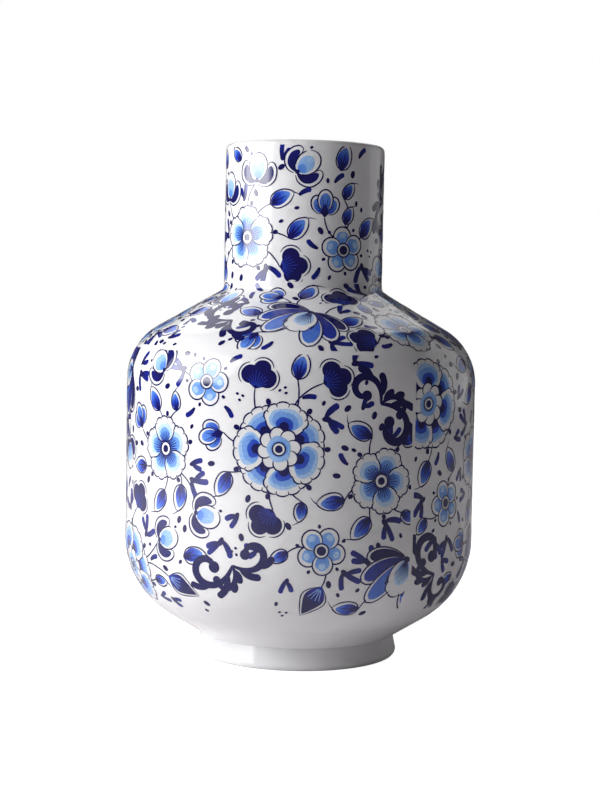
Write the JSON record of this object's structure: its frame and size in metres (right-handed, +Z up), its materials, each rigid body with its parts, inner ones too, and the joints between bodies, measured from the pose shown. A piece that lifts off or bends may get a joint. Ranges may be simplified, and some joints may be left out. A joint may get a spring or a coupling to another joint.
{
  "type": "ceramic vase",
  "caption": "Bottle-shaped glazed ceramic vase on a foot ring, with a straight cylindrical neck, conical shoulder, straight-sided barrel and printed blue floral bands.",
  "frame": {"origin": "centre of the foot ring on the surface the vase stands on", "axes": "+Z up along the vase's axis; -Y is the side that faces the viewer"},
  "size_m": [0.2058, 0.2058, 0.3],
  "materials": {
    "clay": "matt biscuit-fired body",
    "slip": "matt fired slip",
    "glaze": "clear gloss over white",
    "print": "cobalt blue print fused into the gloss glaze"
  },
  "bodies": {
    "root": {"foot_ring": "clay", "lower_body": "clay", "upper_body": "clay", "neck": "clay", "foot_lute": "slip", "belly_lute": "slip", "neck_lute": "slip", "glaze_outside": "glaze", "glaze_inside": "glaze", "glaze_underside": "glaze", "body_transfer_1": "print", "body_transfer_2": "print", "body_transfer_3": "print", "shoulder_transfer_1": "print", "shoulder_transfer_2": "print", "neck_transfer": "print"}
  },
  "joints": []
}
